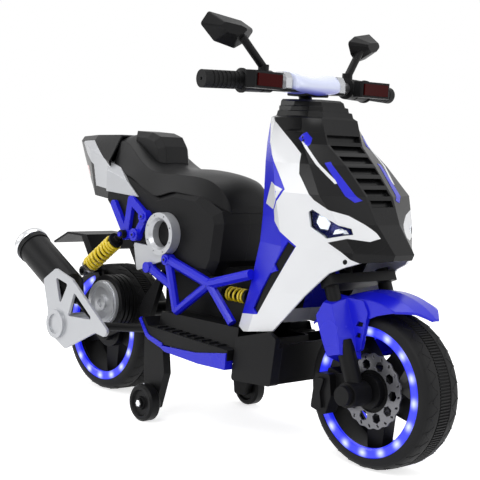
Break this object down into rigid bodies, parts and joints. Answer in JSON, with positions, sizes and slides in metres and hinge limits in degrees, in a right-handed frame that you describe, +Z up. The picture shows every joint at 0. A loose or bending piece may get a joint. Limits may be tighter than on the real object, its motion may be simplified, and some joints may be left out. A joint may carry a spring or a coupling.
{
  "type": "ride-on electric motorbike",
  "caption": "Child's battery ride-on motorbike in scooter style, with lit wheels, sprung rear unit, twist grip, side mirrors and stabiliser wheels.",
  "frame": {"origin": "centre of the floor footprint of the whole bike, on the floor", "axes": "+X forward, +Y to the rider's left, +Z up"},
  "size_m": [1.094, 0.5018, 0.7904],
  "materials": {
    "white_plastic": "glossy",
    "blue_plastic": "glossy",
    "black_plastic": "satin",
    "black_gloss": "glossy",
    "seat_skin": "grained",
    "tyre": "matte",
    "light_ring": "glowing",
    "silver_plastic": "satin",
    "steel": "brushed",
    "lamp_lens": "clear",
    "red_lens": "glossy",
    "dash": "translucent",
    "mirror_face": "mirror",
    "spring_yellow": "glossy",
    "grip_rubber": "matte",
    "battery_case": "matte"
  },
  "bodies": {
    "chassis": {"side_panels": "white_plastic", "headlamps": "lamp_lens", "inner_panel": "black_plastic", "leg_shields": "blue_plastic", "nose_cap": "black_gloss", "nose_shield": "black_gloss", "steering_head": "steel", "chassis_half_right": "black_plastic", "chassis_half_left": "black_plastic", "footboards": "black_plastic", "floor_trims": "blue_plastic", "belly_fairing": "black_plastic", "seat": "seat_skin", "seat_pad": "seat_skin", "tail_lamp": "red_lens", "tail_panels": "silver_plastic", "tail_deck": "black_plastic", "tail_lower": "black_plastic", "trellis_frames": "blue_plastic", "rear_links": "blue_plastic", "intake_trims": "silver_plastic", "front_springs": "spring_yellow", "stabiliser_legs": "black_plastic", "battery": "battery_case"},
    "steering": {"fork_legs": "black_plastic", "steering_yoke": "black_plastic", "front_axle": "black_plastic", "front_fender": "blue_plastic", "brake_caliper": "black_plastic", "handlebar": "steel", "bar_clamps": "silver_plastic", "dash_cover": "dash", "grip_left": "grip_rubber", "switch_housings": "black_plastic", "lever_guards": "black_plastic", "reflectors": "red_lens", "mirrors": "black_plastic", "mirror_glasses": "mirror_face"},
    "throttle": {"throttle_grip": "grip_rubber"},
    "front_wheel": {"front_tyre": "tyre", "front_rim": "black_plastic", "front_light_rings": "light_ring", "brake_disc": "silver_plastic"},
    "rear_unit": {"swingarm": "black_plastic", "rear_axle": "steel", "drive_gearbox": "black_plastic", "engine_cover": "silver_plastic", "muffler": "black_plastic", "exhaust_bracket": "silver_plastic", "mudguard": "black_plastic"},
    "rear_wheel": {"rear_tyre": "tyre", "rear_rim": "black_plastic", "rear_light_rings": "light_ring"},
    "dampers": {"shock_dampers": "black_plastic", "shock_springs": "spring_yellow"},
    "damper_rods": {"shock_rods": "steel"},
    "stabiliser_right": {"stabiliser_wheel_right": "black_plastic"},
    "stabiliser_left": {"stabiliser_wheel_left": "black_plastic"},
    "power_button": {"start_button": "silver_plastic"}
  },
  "joints": [
    {"name": "steer", "type": "hinge", "parent": "chassis", "child": "steering", "pos_m": [0.38219, 0, 0.14], "axis": [-0.3746, 0, 0.9272], "range_deg": [-25, 25]},
    {"name": "throttle_twist", "type": "hinge", "parent": "steering", "child": "throttle", "pos_m": [0.185, -0.08, 0.676], "axis": [-0.1175, -0.9926, -0.0294], "range_deg": [0, 45], "stiffness_Nm_per_rad": 0.3},
    {"name": "front_wheel_spin", "type": "hinge", "parent": "steering", "child": "front_wheel", "pos_m": [0.407, 0, 0.14], "axis": [0, 1, 0], "continuous": true},
    {"name": "rear_swing", "type": "hinge", "parent": "chassis", "child": "rear_unit", "pos_m": [-0.19, 0, 0.205], "axis": [0, 1, 0], "range_deg": [0, 5], "stiffness_Nm_per_rad": 400, "springref_deg": -4.58},
    {"name": "rear_wheel_spin", "type": "hinge", "parent": "rear_unit", "child": "rear_wheel", "pos_m": [-0.373, 0, 0.14], "axis": [0, 1, 0], "continuous": true},
    {"name": "damper_swing", "type": "hinge", "parent": "chassis", "child": "dampers", "pos_m": [-0.24, 0, 0.36], "axis": [0, 1, 0], "range_deg": [0, 5]},
    {"name": "damper_stroke", "type": "slide", "parent": "dampers", "child": "damper_rods", "axis": [0.8204, 0, 0.5718], "range_m": [0, 0.016], "deforming": ["shock_springs"]},
    {"name": "stabiliser_right_spin", "type": "hinge", "parent": "chassis", "child": "stabiliser_right", "pos_m": [-0.088, -0.1435, 0.037], "axis": [0, 1, 0], "continuous": true},
    {"name": "stabiliser_left_spin", "type": "hinge", "parent": "chassis", "child": "stabiliser_left", "pos_m": [-0.088, 0.1435, 0.037], "axis": [0, 1, 0], "continuous": true},
    {"name": "power_press", "type": "slide", "parent": "chassis", "child": "power_button", "axis": [1, 0, 0], "range_m": [0, 0.003], "stiffness_N_per_m": 300}
  ],
  "couplings": [
    {"joint": "damper_swing", "follows": "rear_swing", "ratio": 0.70411},
    {"joint": "damper_stroke", "follows": "rear_swing", "m_per_rad": 0.15575}
  ]
}
